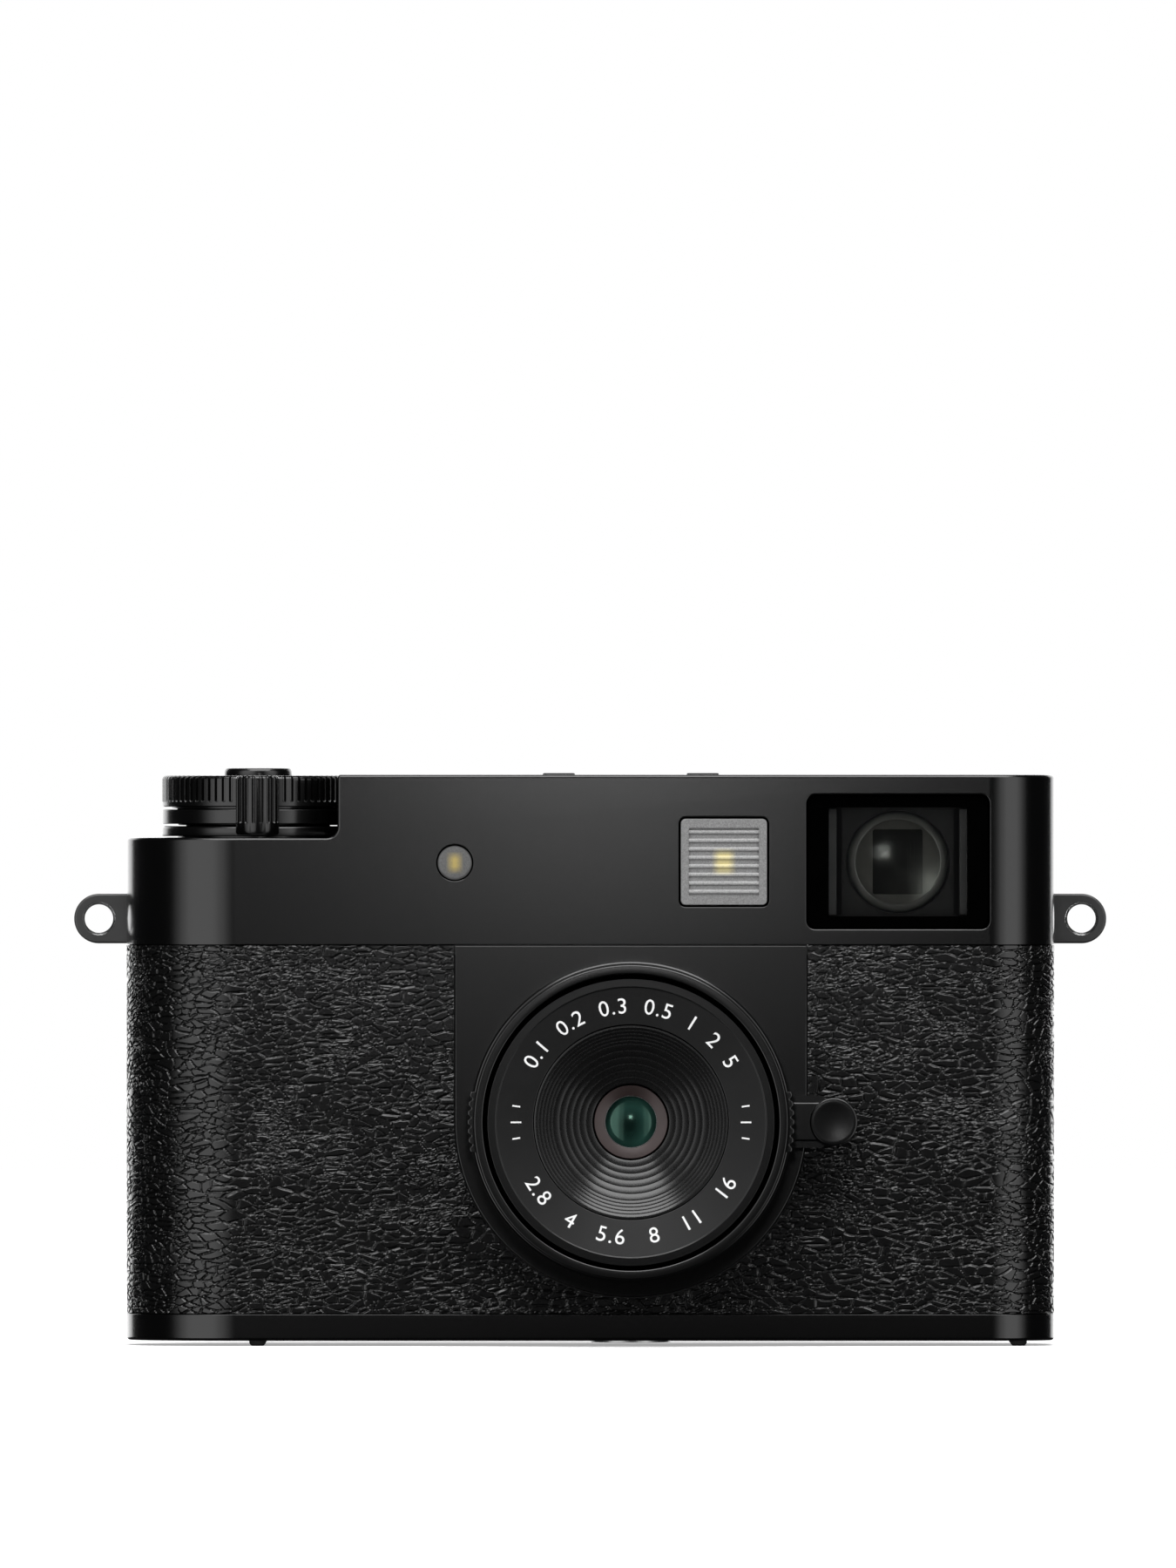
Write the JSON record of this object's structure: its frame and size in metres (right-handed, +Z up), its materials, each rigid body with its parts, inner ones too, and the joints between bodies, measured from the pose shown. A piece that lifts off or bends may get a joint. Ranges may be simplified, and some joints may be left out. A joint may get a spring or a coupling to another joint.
{
  "type": "rangefinder camera",
  "caption": "Compact viewfinder camera with a rounded leather-covered body, stepped top cover, short fixed lens, dial stack, accessory shoe and strap lugs.",
  "frame": {"origin": "on the surface the camera stands on, under the middle of its bounding box", "axes": "+Z up, the lens faces -Y, +X towards the viewfinder window, which is on the right seen from the front"},
  "size_m": [0.1178, 0.0458, 0.0658],
  "materials": {
    "black_paint": "satin black paint with a very fine grain",
    "black_metal": "black anodised, turned and knurled",
    "black_plastic": "matte black moulding",
    "leatherette": "black pebble-grained covering",
    "glass": "coated optical glass with a green and purple tint",
    "diffuser": "frosted light grey lens",
    "display": "polished black cover glass",
    "rubber": "matte black",
    "steel": "plain machined steel",
    "dark_metal": "dark satin",
    "circuit": "circuit board",
    "battery_case": "dark grey moulding"
  },
  "bodies": {
    "root": {"top_cover": "black_paint", "base_cover": "black_paint", "body_frame": "black_plastic", "leather_wrap": "leatherette", "lens_panel": "black_paint", "rear_panel": "black_plastic", "main_display": "display", "film_display": "display", "lug_left": "dark_metal", "lug_right": "dark_metal", "shoe_rails": "black_metal", "shoe_spring": "steel", "tripod_socket": "steel", "foot_front_left": "rubber", "foot_front_right": "rubber", "foot_rear_left": "rubber", "foot_rear_right": "rubber", "base_screw_1": "black_metal", "base_screw_2": "black_metal", "base_screw_3": "black_metal", "base_screw_4": "black_metal", "battery_box": "black_plastic", "battery": "battery_case", "door_pin": "steel", "usb_socket": "steel", "finder_frame": "black_plastic", "finder_window": "glass", "finder_tube": "black_plastic", "finder_objective": "glass", "eyepiece_frame": "rubber", "eyepiece_lens": "glass", "flash_window": "diffuser", "flash_board": "circuit", "lamp_window": "diffuser", "lens_barrel": "black_metal", "front_bezel": "black_metal", "name_ring": "black_paint", "baffle_cone": "black_plastic", "front_cell": "dark_metal", "front_lens": "glass", "shutter_unit": "black_plastic", "image_sensor": "circuit", "main_board": "circuit", "dial_post": "black_metal", "button_spring": "steel"},
    "power_switch": {"power_switch": "black_metal"},
    "advance_lever": {"advance_lever": "black_metal"},
    "exposure_dial": {"exposure_dial": "black_metal"},
    "shutter_button": {"shutter_button": "black_metal"},
    "aperture_ring": {"aperture_ring": "black_metal"},
    "focus_ring": {"focus_ring": "black_metal"},
    "focus_group": {"focus_group": "black_plastic", "rear_lens": "glass"},
    "shutter_blade_a": {"shutter_blade_a": "dark_metal"},
    "shutter_blade_b": {"shutter_blade_b": "dark_metal"},
    "battery_door": {"battery_door": "black_paint"},
    "door_latch": {"door_latch": "black_plastic"},
    "port_door": {"port_door": "black_plastic"},
    "play_button": {"play_button": "black_metal"},
    "drive_button": {"drive_button": "black_metal"}
  },
  "joints": [
    {"name": "power_turn", "type": "hinge", "parent": "root", "child": "power_switch", "pos_m": [-0.0379, 0.007, 0.0586], "axis": [0, 0, 1], "range_deg": [-30, 0]},
    {"name": "lever_stroke", "type": "hinge", "parent": "root", "child": "advance_lever", "pos_m": [-0.0379, 0.007, 0.0602], "axis": [0, 0, 1], "range_deg": [0, 95], "stiffness_Nm_per_rad": 0.01, "springref_deg": -17.19},
    {"name": "dial_turn", "type": "hinge", "parent": "root", "child": "exposure_dial", "pos_m": [-0.0379, 0.007, 0.063], "axis": [0, 0, 1], "range_deg": [-90, 90]},
    {"name": "shutter_press", "type": "slide", "parent": "root", "child": "shutter_button", "axis": [0, 0, -1], "range_m": [0, 0.0008], "stiffness_N_per_m": 100, "springref_m": -0.0005, "deforming": ["button_spring"]},
    {"name": "aperture_turn", "type": "hinge", "parent": "root", "child": "aperture_ring", "pos_m": [0.00463, -0.0166, 0.02558], "axis": [0, -1, 0], "range_deg": [-60, 0]},
    {"name": "focus_turn", "type": "hinge", "parent": "root", "child": "focus_ring", "pos_m": [0.00463, -0.011, 0.02558], "axis": [0, -1, 0], "range_deg": [-45, 45]},
    {"name": "focus_slide", "type": "slide", "parent": "root", "child": "focus_group", "axis": [0, -1, 0], "range_m": [-0.00065, 0.00065]},
    {"name": "blade_a_swing", "type": "hinge", "parent": "root", "child": "shutter_blade_a", "pos_m": [0.01363, -0.00743, 0.02558], "axis": [0, -1, 0], "range_deg": [0, 60], "stiffness_Nm_per_rad": 0.0005, "springref_deg": -11.46},
    {"name": "blade_b_swing", "type": "hinge", "parent": "root", "child": "shutter_blade_b", "pos_m": [-0.00437, -0.00692, 0.02558], "axis": [0, -1, 0], "range_deg": [0, 60], "stiffness_Nm_per_rad": 0.0005, "springref_deg": -11.46},
    {"name": "battery_door_open", "type": "hinge", "parent": "root", "child": "battery_door", "pos_m": [-0.0325, 0.0144, 0.0015], "axis": [1, 0, 0], "range_deg": [0, 95]},
    {"name": "latch_slide", "type": "slide", "parent": "battery_door", "child": "door_latch", "axis": [1, 0, 0], "range_m": [0, 0.0042]},
    {"name": "port_door_open", "type": "hinge", "parent": "root", "child": "port_door", "pos_m": [0.0524, 0.011, 0.019], "axis": [0, 0, 1], "range_deg": [0, 110]},
    {"name": "play_press", "type": "slide", "parent": "root", "child": "play_button", "axis": [0, -1, 0], "range_m": [0, 0.0004], "stiffness_N_per_m": 30, "springref_m": -0.0004},
    {"name": "drive_press", "type": "slide", "parent": "root", "child": "drive_button", "axis": [0, -1, 0], "range_m": [0, 0.0004], "stiffness_N_per_m": 30, "springref_m": -0.0004}
  ],
  "couplings": [
    {"joint": "focus_slide", "follows": "focus_turn", "m_per_rad": 0.0008},
    {"joint": "blade_b_swing", "follows": "blade_a_swing", "ratio": 1}
  ]
}
